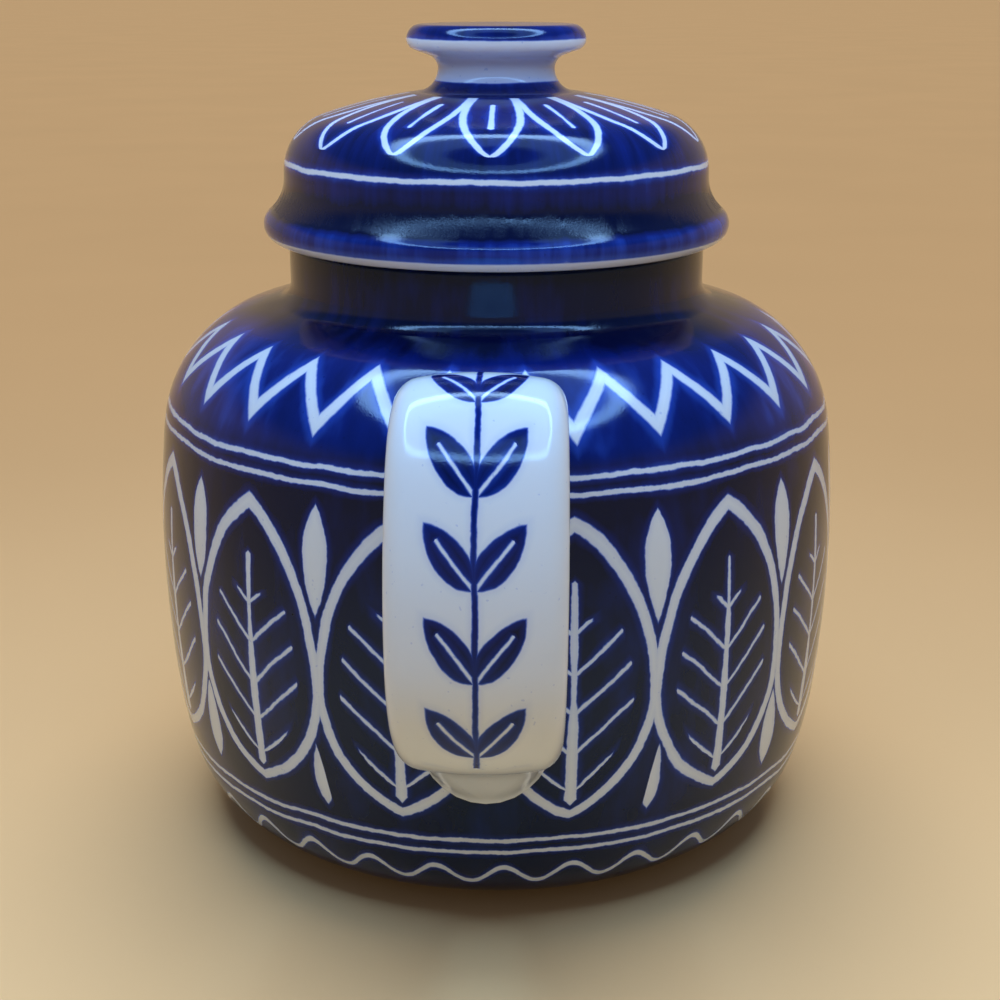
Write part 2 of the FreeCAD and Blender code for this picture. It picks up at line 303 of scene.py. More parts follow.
def skin(name, rings, u, v, slots, materials, ends=None):
    """Mesh over a grid of points: rows of closed rings joined by four-sided faces.

    Row i, column j is joined to column j + 1 and row i + 1. With two end points each end closes in a fan;
    without them the last ring is joined to the first. u and v hold one more column than the rings, and one
    more row for each joint between last and first, so that a pattern meets itself at the seam.
    """
    rows, columns = rings.shape[:2]
    left = np.arange(rows * columns).reshape(rows, columns)
    if ends is None:
        left = np.vstack((left, left[:1]))
    right = np.roll(left, -1, axis=1)
    faces = np.stack((left[:-1], right[:-1], right[1:], left[1:]), axis=-1).reshape(-1, 4)
    uv = np.stack((u, v), axis=-1)
    corners = np.stack((uv[:-1, :-1], uv[:-1, 1:], uv[1:, 1:], uv[1:, :-1]), axis=2).reshape(-1, 4, 2)
    slots = np.repeat(slots, columns)
    points = rings.reshape(-1, 3)
    fans = np.zeros((0, 3), int)
    fan_corners = np.zeros((0, 3, 2))
    if ends is not None:
        tip = np.full(columns, len(points))
        fans = np.concatenate((
            np.stack((tip, right[0], left[0]), axis=-1),
            np.stack((left[-1], right[-1], tip + 1), axis=-1),
        ))
        first = (uv[0, :-1] + uv[0, 1:]) / 2
        last = (uv[-1, :-1] + uv[-1, 1:]) / 2
        fan_corners = np.concatenate((
            np.stack((first, uv[0, 1:], uv[0, :-1]), axis=1),
            np.stack((uv[-1, :-1], uv[-1, 1:], last), axis=1),
        ))
        slots = np.concatenate((slots, np.full(columns, slots[0]), np.full(columns, slots[-1])))
        points = np.concatenate((points, ends))
    a, b, c, d = (points[faces[:, corner]] for corner in range(4))
    if np.einsum("ij,ij->", np.cross(c - a, d - b), a + b + c + d) < 0.0:
        faces, corners = faces[:, ::-1], corners[:, ::-1]
        fans, fan_corners = fans[:, ::-1], fan_corners[:, ::-1]
    mesh = bpy.data.meshes.new(name)
    mesh.from_pydata(points.tolist(), [], faces.tolist() + fans.tolist())
    layer = mesh.uv_layers.new(name=UV_NAME)
    flat = np.concatenate((corners.reshape(-1), fan_corners.reshape(-1)))
    layer.data.foreach_set("uv", flat.astype(np.float32))
    mesh.polygons.foreach_set("material_index", slots.astype(np.int32))
    mesh.polygons.foreach_set("use_smooth", np.ones(len(mesh.polygons), bool))
    mesh.set_sharp_from_angle(angle=SHARP_ANGLE)
    for material in materials:
        mesh.materials.append(material)
    mesh.update()
    return placed(name, mesh)


def turned(name, sections, materials):
    """Surface of revolution: x = r cos a, y = r sin a, z = z for each profile point and even angles a.

    sections lists arrays of (r, z) with the slot of each. They follow on from each other, from the axis
    round the piece and back to the axis, where the ends close.
    """
    start = sections[0][0][:1, :2]
    line = np.concatenate([start] + [points[1:, :2] for points, _ in sections])
    counts = [len(points) - 1 for points, _ in sections]
    slots = np.repeat([slot for _, slot in sections], counts)
    walked = distances(line)
    turn = even_angles(COLUMNS)
    ring = line[1:-1]
    rings = np.stack(np.broadcast_arrays(
        ring[:, :1] * np.cos(turn), ring[:, :1] * np.sin(turn), ring[:, 1:]
    ), axis=-1)
    u, v = np.meshgrid(np.arange(COLUMNS + 1) / COLUMNS, walked[1:-1])
    ends = np.array(((0.0, 0.0, line[0, 1]), (0.0, 0.0, line[-1, 1])))
    return skin(name, rings, u, v, slots[1:-1], materials, ends)


def rods(name, starts, direction, radius, reach, slot):
    """Straight round rods for cutting: each ring is its centre plus radius times cos and sin of even angles."""
    sides = ROD_SIDES
    turn = even_angles(sides)
    direction = np.array(direction, float)
    across = np.cross(direction, (1.0, 0.0, 0.0))
    ring = radius * (np.cos(turn)[:, None] * np.array((1.0, 0.0, 0.0)) + np.sin(turn)[:, None] * across)
    ends = np.array((0.0, reach))[:, None, None] * direction
    points = (np.array(starts)[:, None, None] + ends + ring).reshape(-1, 3)
    base = np.arange(len(starts))[:, None] * 2 * sides
    low = base + np.arange(sides)
    low_next = np.roll(low, -1, axis=1)
    walls = np.stack((low, low_next, low_next + sides, low + sides), axis=-1).reshape(-1, 4)
    mesh = bpy.data.meshes.new(name)
    caps = low[:, ::-1].tolist() + (low + sides).tolist()
    mesh.from_pydata(points.tolist(), [], walls.tolist() + caps)
    mesh.polygons.foreach_set("material_index", np.full(len(mesh.polygons), slot, np.int32))
    mesh.update()
    return placed(name, mesh)


def drill(piece, cutter):
    """Takes the cutter's volume out of the piece, and the cutter out of the scene."""
    for material in piece.data.materials:
        cutter.data.materials.append(material)
    hole = piece.modifiers.new("Hole", "BOOLEAN")
    hole.operation = "DIFFERENCE"
    hole.solver = "EXACT"
    hole.object = cutter
    bpy.context.view_layer.update()
    result = piece.evaluated_get(bpy.context.evaluated_depsgraph_get())
    drilled = bpy.data.meshes.new_from_object(result)
    piece.modifiers.remove(hole)
    bpy.data.objects.remove(cutter)
    plain = piece.data
    piece.data = drilled
    bpy.data.meshes.remove(plain)
    drilled.name = piece.name
    drilled.set_sharp_from_angle(angle=SHARP_ANGLE)


def pot_side(pot, inset):
    """Pot's side from the flat base up to the neck, moved inward by inset."""
    line = Profile(pot.base_flat, pot.foot_height + inset)
    for radius, heading in POT_SIDE_ARCS:
        line.arc(radius * MM - inset, math.radians(heading))
    line.straight_to_arc(pot.neck_fillet + inset, math.pi / 2, pot.neck_radius - inset)
    return line


def pot_radius(pot, z):
    """Outer radius of the pot at a height, for trimming what is luted onto it."""
    table = pot_side(pot, 0.0).table()
    return np.interp(z, table[:, 1], table[:, 0])


def foot_profile(pot):
    """Underside from the axis, down into the foot ring and back up to the flat base, edges rounded."""
    edge = pot.foot_round
    quarter = math.pi / 2
    recess = Profile(0.0, pot.foot_height)
    recess.straight(pot.foot_inner - edge)
    recess.arc(edge, -quarter)
    recess.straight(pot.foot_height - 2 * edge)
    ring = Profile(recess.r, recess.z, -quarter)
    ring.arc(edge, 0.0)
    ring.straight(pot.foot_outer - edge - ring.r)
    ring.arc(edge, quarter)
    side = Profile(ring.r, ring.z, quarter)
    side.straight(pot.foot_height - 2 * edge)
    side.arc(edge, 0.0)
    side.corner(pot.base_flat, pot.foot_height)
    return recess.table(), ring.table(), side.table()


def pot_sections(pot):
    """Pot's closed profile: recess, foot ring, foot side, outside, rim and inside, with the slot of each."""
    cobalt, white, bare = range(3)
    recess, ring, foot_side = foot_profile(pot)
    outside = pot_side(pot, 0.0)
    outside.straight(pot.rim_height - pot.rim_round - outside.z)
    outside.arc(pot.rim_round, math.pi)
    rim = Profile(outside.r, outside.z, math.pi)
    rim.straight(pot.wall - 2 * pot.rim_round)
    rim.arc(pot.rim_round, 1.5 * math.pi)
    inside = pot_side(pot, pot.wall)
    inside.corner(inside.r, rim.z)
    floor = Profile(0.0, pot.foot_height + pot.wall)
    floor.corner(pot.base_flat, floor.z)
    return [
        (recess, white), (ring, bare), (foot_side, cobalt),
        (outside.table(), cobalt), (rim.table(), white),
        (inside.table()[::-1], white), (floor.table()[::-1], white),
    ]


def build_pot(pot, materials):
    """Shell of the pot turned from its profile, with the strainer drilled towards the spout."""
    white = 1
    piece = turned("pot", pot_sections(pot), materials)
    spots = even_angles(pot.strainer_holes)
    starts = np.stack((
        np.append(0.0, pot.strainer_ring * np.cos(spots)),
        np.full(pot.strainer_holes + 1, pot.neck_radius),
        pot.strainer_height + np.append(0.0, pot.strainer_ring * np.sin(spots)),
    ), axis=1)
    drill(piece, rods("strainer", starts, (0, 1, 0), pot.strainer_hole, pot.neck_radius, white))
    return piece


def marks(sections, number):
    """Distance along the closed profile for a height on one of its sections, both in millimetres."""
    walked = [distances(points) for points, _ in sections]
    walked = sum(section[-1] for section in walked[:number]) + walked[number]
    heights = sections[number][0][:, 1]
    return lambda height: float(np.interp(height * MM, heights, walked)) / MM


def first_outside(points, total, pot):
    """Distance at which each column of points, even steps of the total from inside the pot, comes out of it."""
    gap = np.hypot(points[..., 0], points[..., 1]) - pot_radius(pot, points[..., 2]) + SINK
    row = (gap > 0.0).argmax(axis=0)
    column = np.arange(gap.shape[1])
    after, before = gap[row, column], gap[row - 1, column]
    return (row - after / (after - before)) * total / (len(points) - 1)


def onto_pot(points, pot):
    """Moves points along the radius onto the pot's surface, a hair below it."""
    scale = (pot_radius(pot, points[..., 2]) - SINK) / np.hypot(points[..., 0], points[..., 1])
    return points * np.stack((scale, scale, np.ones_like(scale)), axis=-1)


def strap_line(handle, r, z):
    """Strap's centre line from inside the shoulder, over the crest, down the back and into the wall."""
    half = handle.thickness / 2
    line = Profile(r, z, handle.root_rise)
    line.straight(handle.root_run)
    line.arc(handle.crest_radius - half, 0.0)
    crest_z = line.z
    line.arc(handle.crest_radius - half, handle.back_heading)
    line.arc(handle.back_radius - half, -math.pi / 2)
    back_r = line.r
    line.arc(handle.corner_radius - half, handle.return_heading)
    line.straight(handle.return_run)
    return line, crest_z, back_r


def strap_points(handle, line, walked, corner, share, swell):
    """Strap surface: the centre line plus a section of four tangent arcs.

    The section has two crowned faces of one radius and two round edges tangent to them. corner numbers the
    arc, share runs along it, and swell thickens the section.
    """
    total = line.total()
    part = walked / total
    nearest = np.minimum(walked, total - walked)
    width = handle.width - (handle.width - handle.lower_width) * part ** handle.narrowing
    width = width - (handle.width - handle.upper_width) * (1 - part) ** handle.narrowing
    half = width / 2 + swell / 2
    deep = handle.thickness / 2 + swell
    deep = deep + handle.root_flare / 2 * np.exp(-(nearest / handle.flare_length) ** 2)
    crown = handle.crown
    edge = (half ** 2 + (crown - deep) ** 2 - crown ** 2) / (2 * (half - crown))
    lean = np.arctan2(half - edge, crown - deep)
    face = corner % 2 == 0
    side = np.where(corner < 2, 1.0, -1.0)
    normal = np.where(face, lean * (1 - 2 * share), -lean - (math.pi - 2 * lean) * share)
    x = np.where(face, crown * np.sin(normal), -(half - edge) + edge * np.sin(normal)) * side
    level = np.where(face, deep - crown + crown * np.cos(normal), edge * np.cos(normal)) * side
    r, z, heading = line.at(walked)
    r = r - level * np.sin(heading)
    return np.stack((x, -r, z + level * np.cos(heading)), axis=-1), x


def build_handle(handle, pot, materials):
    """Strap from wall to wall: each lengthwise line runs between the two places where it leaves the pot."""
    half = handle.thickness / 2
    _, crest_z, back_r = strap_line(handle, 0.0, 0.0)
    reach = -CAD_BOX[0][1]
    line, _, _ = strap_line(handle, reach - half - back_r, handle.crest_height - half - crest_z)
    face_steps, edge_steps, rows, trial_rows = 18, 14, 150, 1200
    steps = (face_steps, edge_steps, face_steps, edge_steps)
    corner = np.repeat(np.arange(4), steps)
    share = np.concatenate([np.arange(number) / number for number in steps])
    total = line.total()
    dense = np.linspace(0.0, total, trial_rows)[:, None] * np.ones(len(corner))
    trial, _ = strap_points(handle, line, dense, corner, share, 0.0)
    begin = first_outside(trial, total, pot)
    end = total - first_outside(trial[::-1], total, pot)
    # Rows crowd towards the roots: three parts of a cosine step to one part of even steps
    spread = np.linspace(0.0, math.pi, rows)[:, None]
    eased = 0.75 * (1 - np.cos(spread)) / 2 + 0.25 * spread / math.pi
    walked = begin + (end - begin) * eased
    clear = np.minimum(walked - begin, end - walked)
    swell = handle.fillet * np.exp(-clear / handle.fillet_fade)
    rings, across = strap_points(handle, line, walked, corner, share, swell)
    rings[[0, -1]] = onto_pot(rings[[0, -1]], pot)
    ends = onto_pot(rings[[0, -1]].mean(axis=1), pot)
    painted, plain = range(2)
    u = np.hstack((across, across[:, :1]))
    v = np.hstack((walked, walked[:, :1]))
    slots = np.full(rows - 1, painted)
    piece = skin("strap_handle", rings, u, v, slots, materials, ends)
    facing = np.tile(np.where(corner == 2, plain, painted), rows - 1)
    slots = np.concatenate((facing, np.full(2 * len(corner), plain)))
    piece.data.polygons.foreach_set("material_index", slots.astype(np.int32))
    return piece


def spout_line(spout):
    """Centre line of the spout from inside the pot to the middle of the tip."""
    line = Profile(spout.start_r, spout.start_z, spout.start_heading)
    line.arc(spout.bend_radius, spout.tip_heading)
    reach = CAD_BOX[1][1] - spout.tip_radius * math.sin(spout.tip_heading)
    line.straight((reach - line.r) / math.cos(spout.tip_heading))
    return line


def spout_points(spout, line, walked, turn, swell):
    """Tube: the centre line plus a ring square to it, its radius falling from root to tip."""
    slim = (1 - walked / line.total()) ** spout.taper
    radius = spout.tip_radius + (spout.root_radius - spout.tip_radius) * slim + swell
    r, z, heading = line.at(walked)
    rise = radius * np.sin(turn)
    points = (radius * np.cos(turn), r - rise * np.sin(heading), z + rise * np.cos(heading))
    return np.stack(points, axis=-1)


def build_spout(spout, pot, materials):
    """Tube from the pot's wall, out along the spout, round the lip and back inside to the wall."""
    line = spout_line(spout)
    total = line.total()
    columns, rows, lip_rows, trial_rows, crowding = 72, 70, 9, 600, 1.3
    turn = even_angles(columns)
    lip = spout.wall / 2
    dense = np.linspace(0.0, total, trial_rows)[:, None] * np.ones(columns)
    begin, begin_inside = (
        first_outside(spout_points(spout, line, dense, turn, swell), total, pot) for swell in (0.0, -spout.wall)
    )
    even = np.linspace(0.0, 1.0, rows)[:, None]
    out = begin + (total - lip - begin) * even ** crowding
    swell = spout.fillet * np.exp(-(out - begin) / spout.fillet_fade)
    outside = spout_points(spout, line, out, turn, swell)
    outside[0] = onto_pot(outside[0], pot)
    bend = np.linspace(0.0, math.pi, lip_rows)[1:-1, None] * np.ones(columns)
    round_lip = total - lip + lip * np.sin(bend)
    lip_ring = spout_points(spout, line, round_lip, turn, -lip + lip * np.cos(bend))
    back = (begin_inside + (total - lip - begin_inside) * even)[::-1]
    inside = spout_points(spout, line, back, turn, -spout.wall)
    inside[-1] = onto_pot(inside[-1], pot)
    rings = np.concatenate((outside, lip_ring, inside))
    walked = np.concatenate((out, round_lip, back, out[:1]))
    painted, plain = range(2)
    slots = np.full(len(rings), plain)
    slots[:rows + lip_rows // 2] = painted
    u = np.tile(np.arange(columns + 1) / columns, (len(walked), 1))
    v = np.hstack((walked, walked[:, :1]))
    return skin("spout_tube", rings, u, v, slots, materials)


def lid_wall(lid, pot):
    """Lid's outside from its seat, round the rim bead and up the wall to its shoulder."""
    line = Profile(lid.rim_radius - lid.bead, pot.rim_height)
    line.arc(lid.bead, lid.bead_heading)
    line.arc(lid.flare, math.pi / 2)
    line.straight(lid.wall_run)
    return line


def add_dome(line, lid, inset, end_r):
    """Round shoulder and shallow dome, moved inward by inset, up to the radius end_r."""
    line.arc(lid.shoulder - inset, lid.shoulder_heading)
    radius = lid.dome - inset
    line.arc(radius, math.pi - math.asin(math.sin(lid.shoulder_heading) + (end_r - line.r) / radius))


def lid_outer(lid, pot, knob):
    """Lid's whole outside, from its seat to the knob."""
    line = lid_wall(lid, pot)
    add_dome(line, lid, 0.0, knob.base_radius)
    return line


def lid_sections(lid, pot, knob):
    """Lid's closed profile: ceiling and flange, bare seat, outside, and the flat under the knob."""
    cobalt, white, bare = range(3)
    outside = lid_outer(lid, pot, knob)
    wall = lid_wall(lid, pot)
    hollow = Profile(lid.flange_outer, pot.rim_height, -math.pi / 2)
    hollow.straight(lid.flange_depth - lid.flange_round)
    hollow.arc(lid.flange_round, -math.pi)
    hollow.straight(lid.flange_outer - lid.flange_inner - 2 * lid.flange_round)
    hollow.arc(lid.flange_round, -1.5 * math.pi)
    hollow.heading = math.pi / 2
    hollow.straight(pot.rim_height - hollow.z)
    hollow.arc(lid.hollow_bend, lid.hollow_flare)
    hollow.straight_to_arc(lid.hollow_bend, math.pi / 2, wall.r - lid.wall)
    hollow.straight(wall.z - hollow.z)
    add_dome(hollow, lid, lid.wall, knob.base_radius)
    hollow.corner(0.0, hollow.z)
    seat = Profile(lid.flange_outer, pot.rim_height)
    seat.corner(lid.rim_radius - lid.bead, pot.rim_height)
    under_knob = Profile(outside.r, outside.z, math.pi)
    under_knob.corner(0.0, outside.z)
    return [
        (hollow.table()[::-1], white), (seat.table(), bare),
        (outside.table(), cobalt), (under_knob.table(), bare),
    ]


def build_lid(lid, pot, knob, materials):
    """Hollow lid turned from its profile, with the vent drilled through the dome."""
    white = 1
    piece = turned("lid", lid_sections(lid, pot, knob), materials)
    start = (0.0, lid.vent_distance, pot.rim_height)
    drill(piece, rods("vent", [start], (0, 0, 1), lid.vent_radius, 2 * lid.rim_radius, white))
    return piece


def build_knob(knob, lid, pot, materials):
    """Solid knob: fillet from the dome into a waist, then the disc and its nearly flat top."""
    dome = lid_outer(lid, pot, knob)
    base = Profile(0.0, dome.z)
    base.corner(dome.r, dome.z)
    line = Profile(dome.r, dome.z, dome.heading)
    line.arc((knob.base_radius - knob.waist_radius) / (1 - math.sin(dome.heading)), math.pi / 2)
    line.arc(knob.flare, knob.underside_heading)
    line.straight_to_arc(knob.edge, math.pi / 2, knob.disc_radius)
    line.arc(knob.top, knob.top_heading)
    line.straight(-line.r / math.cos(line.heading))
    return turned("knob", [(base.table(), 0), (line.table(), 0)], materials)


def math_node(tree, operation, values, clamp=False):
    """Maths node fed with these values, as a field."""
    node = tree.nodes.new("ShaderNodeMath")
    node.operation = operation
    node.use_clamp = clamp
    for socket, value in zip(node.inputs, values):
        feed(tree, socket, value)
    return Field(tree, node.outputs[0])


def feed(tree, socket, value):
    """Links a field to a socket, or sets a plain number or colour on it."""
    if isinstance(value, Field):
        tree.links.new(value.socket, socket)
    else:
        socket.default_value = value


def split(tree, socket):
    """The three numbers of a vector socket, as fields."""
    node = tree.nodes.new("ShaderNodeSeparateXYZ")
    tree.links.new(socket, node.inputs[0])
    return [Field(tree, part) for part in node.outputs]


def arithmetic(operation):
    """Method that feeds a field, and any values after it, to one maths node."""
    return lambda self, *values: math_node(self.tree, operation, (self,) + values)


class Field:
    """Number that varies over a surface: a shader socket with plain arithmetic.

    size is the number without its sign, part is what is left above the whole number below, and held keeps
    it between 0 and 1.
    """

    def __init__(self, tree, socket):
        self.tree, self.socket = tree, socket

    __add__ = __radd__ = arithmetic("ADD")
    __mul__ = __rmul__ = arithmetic("MULTIPLY")
    __sub__, __truediv__, __pow__ = arithmetic("SUBTRACT"), arithmetic("DIVIDE"), arithmetic("POWER")
    size, sine, part = arithmetic("ABSOLUTE"), arithmetic("SINE"), arithmetic("FRACT")
    least, most = arithmetic("MINIMUM"), arithmetic("MAXIMUM")

    def __rsub__(self, other):
        return math_node(self.tree, "SUBTRACT", (other, self))

    def held(self):
        return math_node(self.tree, "ADD", (self, 0.0), clamp=True)

    def soft(self, low, high):
        """Smooth step from 0 at low to 1 at high."""
        node = self.tree.nodes.new("ShaderNodeMapRange")
        node.interpolation_type = "SMOOTHSTEP"
        for place, value in enumerate((self, low, high)):
            feed(self.tree, node.inputs[place], value)
        return Field(self.tree, node.outputs[0])


class Finish:
    """Material being made: its node tree, and fields in millimetres for drawing on the surface."""

    def __init__(self, name):
        self.material = bpy.data.materials.new(name)
        self.material.use_nodes = True
        self.tree = self.material.node_tree
        self.tree.nodes.clear()
        self.place = Field(self.tree, self.node("ShaderNodeTexCoord").outputs["Object"])
        self.x, self.y, self.z = (part * (1 / MM) for part in split(self.tree, self.place.socket))
        chart = self.node("ShaderNodeUVMap")
        chart.uv_map = UV_NAME
        self.turn, along, _ = split(self.tree, chart.outputs[0])
        self.across = self.turn * (1 / MM)
        self.along = along * (1 / MM)
        self.radius = (self.x * self.x + self.y * self.y) ** 0.5

    def node(self, kind):
        return self.tree.nodes.new(kind)

    def made(self, kind, inputs):
        """First output of a new node with these inputs, or nothing where it has no output."""
        node = self.node(kind)
        for name, value in inputs.items():
            feed(self.tree, node.inputs[name], value)
        return Field(self.tree, node.outputs[0]) if node.outputs else None

    def noise(self, grain, detail=2.0, shift=0.0):
        """Noise from 0 to 1 with grains of this many millimetres, moved aside by shift."""
        away = (shift, shift * 0.7, shift * 0.3)
        moved = self.made("ShaderNodeMapping", {"Vector": self.place, "Location": away})
        return self.made("ShaderNodeTexNoise", {"Vector": moved, "Scale": 1 / (grain * MM), "Detail": detail})

    def streaks(self, number, grain):
        """Noise from 0 to 1 in streaks along the profile: this many in a turn, each grain millimetres long."""
        wide = number / (2 * math.pi)
        right, ahead = (part / self.radius * wide for part in (self.x, self.y))
        spot = self.made("ShaderNodeCombineXYZ", {"X": right, "Y": ahead, "Z": self.along / grain})
        return self.made("ShaderNodeTexNoise", {"Vector": spot, "Scale": 1.0, "Detail": 3.0})

    def ramp(self, value, stops):
        """Colour that runs through the stops, each a place from 0 to 1 and its shade."""
        node = self.node("ShaderNodeValToRGB")
        while len(node.color_ramp.elements) < len(stops):
            node.color_ramp.elements.new(0.5)
        for element, (place, shade) in zip(node.color_ramp.elements, stops):
            element.position = place
            element.color = (*shade, 1.0)
        feed(self.tree, node.inputs[0], value)
        return Field(self.tree, node.outputs["Color"])

    def coat(self, shade, rough, relief, depth, gloss=0.5, glint=(1.0, 1.0, 1.0)):
        """Joins colour, roughness and relief to one shader; depth is the relief's height in millimetres."""
        bump = self.made("ShaderNodeBump", {"Strength": 1.0, "Distance": depth * MM, "Height": relief})
        shader = self.made("ShaderNodeBsdfPrincipled", {
            "Base Color": shade, "Roughness": rough, "IOR": 1.5, "Normal": bump,
            "Specular IOR Level": gloss, "Specular Tint": (*glint, 1.0),
        })
        self.made("ShaderNodeOutputMaterial", {"Surface": shader})
        return self.material

    def cobalt(self, painted, strength):
        """Amount of cobalt from 0 to 1, thinner along a brushed edge and with a faint bleed outside it.

        painted is the distance inside the painted shape in millimetres, below 0 outside it.
        """
        edge = painted.soft(-0.18, 0.28)
        deep = painted.soft(0.0, 1.6) * 0.32 + 0.68
        return edge * deep * strength + painted.soft(-1.4, 0.2) * 0.035

    def glazed(self, glaze, amount):
        """Gloss glaze: its colour runs from white to thick cobalt with the amount, and cobalt leaves a fine grain.

        Where the amount goes past 1 the cobalt has pooled, and the glaze over it is satin and sandy. Slow waves
        in the relief are where the glaze has run.
        """
        speck = self.noise(1.1, detail=1.0, shift=3.1).soft(0.72, 0.78) * 0.06
        shade = self.ramp((amount + speck).held(), (
            (0.0, glaze.white), (0.13, glaze.wash), (0.40, glaze.thin),
            (0.68, glaze.cobalt), (1.0, glaze.thick),
        ))
        waves = self.noise(17.0, detail=1.0, shift=1.3) * 0.5
        waves = waves + self.noise(3.2, detail=1.0, shift=2.2) * 0.05
        pooled = amount.soft(1.0, 1.22)
        sand = self.noise(0.45, detail=2.0, shift=4.4)
        grain = amount * 0.12 + pooled * 0.20
        rough = self.noise(24.0, detail=3.0, shift=5.0) * 0.05
        rough = rough + pooled * (sand * 0.16 + 0.12) + glaze.gloss
        relief = waves + grain * sand
        return self.coat(shade, rough, relief, 0.14, gloss=glaze.mirror, glint=glaze.glint)


def brushed(finish, usual, number=90):
    """Strength of the cobalt: broad laps, streaks of the brush along the profile, and pooled patches."""
    laps = finish.noise(24.0, detail=3.0)
    streaks = finish.streaks(number, 16.0)
    return laps * 0.55 + streaks * 0.45 + (usual - 0.5)


def wobble(finish, shift):
    """Unsteadiness of a hand-drawn edge, in millimetres."""
    slow = finish.noise(13.0, detail=1.0, shift=shift) - 0.5
    quick = finish.noise(1.6, detail=2.0, shift=shift + 0.5) - 0.5
    return slow * 1.8 + quick * 0.6


def inside_leaf(along, across, low, high, widest):
    """Distance inside a pointed leaf whose two sides are arcs: an arc's radius less the distance from its centre.

    The leaf is widest at two fifths of its height, and its upper part is drawn out to reach its tip.
    """
    middle = low + 0.4 * (high - low)
    below = middle - low
    rise = along - middle
    rise = rise.least(0.0) + rise.most(0.0) * (below / (high - middle))
    bow = (widest * widest + below * below) / (widest * 2.0)
    centre = across + bow - widest
    return bow - (centre * centre + rise * rise) ** 0.5


def repeated(finish, number, shift=0.0):
    """Distance from the middle of the nearest of so many motifs round the piece, as a share of their pitch."""
    return ((finish.turn * number + shift).part() - 0.5).size()


def ended(share, first, last, steep):
    """0 between two places and rising steeply outside them, to add to the distance of a mark that ends there."""
    return (share - last).most(0.0) * steep + (first - share).most(0.0) * steep


def banding(along, place):
    """Distance outside a line one millimetre wide that runs round the piece."""
    return (along - place).size() - 0.5


def paint_pot(finish, mark):
    """Cobalt ground with a frieze of leaves and darts, banding lines, a zigzag and a wave line left white.

    The frieze leaves plain ground round the spout's root, and has no dart under the handle.
    """
    leaves, points, waves = 14, 26, 32
    low, high = mark(30.0), mark(86.5)
    along = finish.along + wobble(finish, 7.0)
    pitch = finish.radius * (2 * math.pi / leaves)
    across = repeated(finish, leaves, 0.5) * pitch + wobble(finish, 9.0) * 0.7
    border = pitch * 0.5 - across
    share = (along - low) / (high - low)
    leaf = inside_leaf(along, across, low, high, pitch * 0.455)
    rib = across - (1.0 - share) * 0.9 - 0.3 + ended(share, 0.04, 0.84, 60.0)
    vein_pitch, vein_slope, vein_gap, outline = 8.4, 0.9, 3.6, 2.0
    vein = (((along - across * vein_slope) / vein_pitch).part() - 0.5).size() * 5.9 - 0.36
    vein = vein + (vein_gap - leaf).most(0.0) * 2.0 + (share - 0.70).most(0.0) * 40.0
    ground = leaf.most(-outline - leaf).least(rib).least(vein)
    hanging = inside_leaf(0.0 - along, border, -high - 3.0, 19.0 - high, 2.8)
    rising = inside_leaf(along, border, low - 3.0, low + 15.0, 2.4)
    under_handle = finish.y.soft(-66.0, -68.0) * 50.0
    behind_spout = 29.5 - finish.x.size() - finish.y.soft(0.0, -1.0) * 99.0
    ground = ground.least(0.0 - hanging).least(under_handle - rising).most(behind_spout)
    for height in (93.6, 96.8, 20.0, 23.0):
        ground = ground.least(banding(along, mark(height)))
    zig_low, zig_high = mark(104.0), mark(112.6)
    zigzag = repeated(finish, points) * 2.0 * (zig_high - zig_low) + zig_low
    ground = ground.least((along - zigzag).size() * 0.36 - 0.75)
    wave = (finish.turn * (2 * math.pi * waves)).sine() * 2.6 + mark(13.5)
    return ground.least((along - wave).size() * 0.75 - 0.6)


def paint_lid(finish, mark):
    """Cobalt ground with a ring of pointed petals round the knob, a banding line and a white rim edge."""
    petals, rim_edge = 14, 3.75
    inner, outer = mark(160.0), mark(151.0)
    along = finish.along + wobble(finish, 4.0) * 0.7
    pitch = finish.radius * (2 * math.pi / petals)
    across = repeated(finish, petals) * pitch + wobble(finish, 6.0) * 0.5
    share = ((inner - along) / (inner - outer)).held()
    half = (1.0 - share ** 2.4) ** 0.75 * (pitch * 0.46)
    beyond = (outer - along).most(0.0).most(along - inner) * 8.0
    outline = (half - across).size() * 0.8 - 0.6 + beyond
    rib = across - 0.45 + beyond + ended(share, 0.2, 0.7, 40.0)
    ground = outline.least(rib).least(banding(along, mark(146.5)))
    return ground.least(finish.along - mark(130.0) - rim_edge)


def laurel(across, along, first, last):
    """Stem with leaf pairs: each leaf is a pointed oval slanting from the stem towards the start of along."""
    spacing, slant, reach, widest, half_stem = 13.5, math.radians(40.0), 12.5, 2.7, 0.5
    climb = spacing * 0.92 - (along / spacing).part() * spacing
    ahead = across * math.sin(slant) + climb * math.cos(slant)
    aside = (across * math.cos(slant) - climb * math.sin(slant)).size()
    share = (ahead / reach).held()
    leaf = inside_leaf(ahead, aside, 0.0, reach, widest)
    rib = aside - 0.28 + (share - 0.75).most(0.0) * 30.0
    sprig = leaf.least(rib).most(half_stem - across)
    return sprig.least(along - first).least(last - along)


def paint_handle(finish):
    """White strap with a laurel down the middle."""
    crest, lower_bend = 28.3, 97.0
    across = (finish.across + wobble(finish, 2.0) * 0.5).size()
    return laurel(across, finish.along + wobble(finish, 3.0) * 0.5, crest, lower_bend)


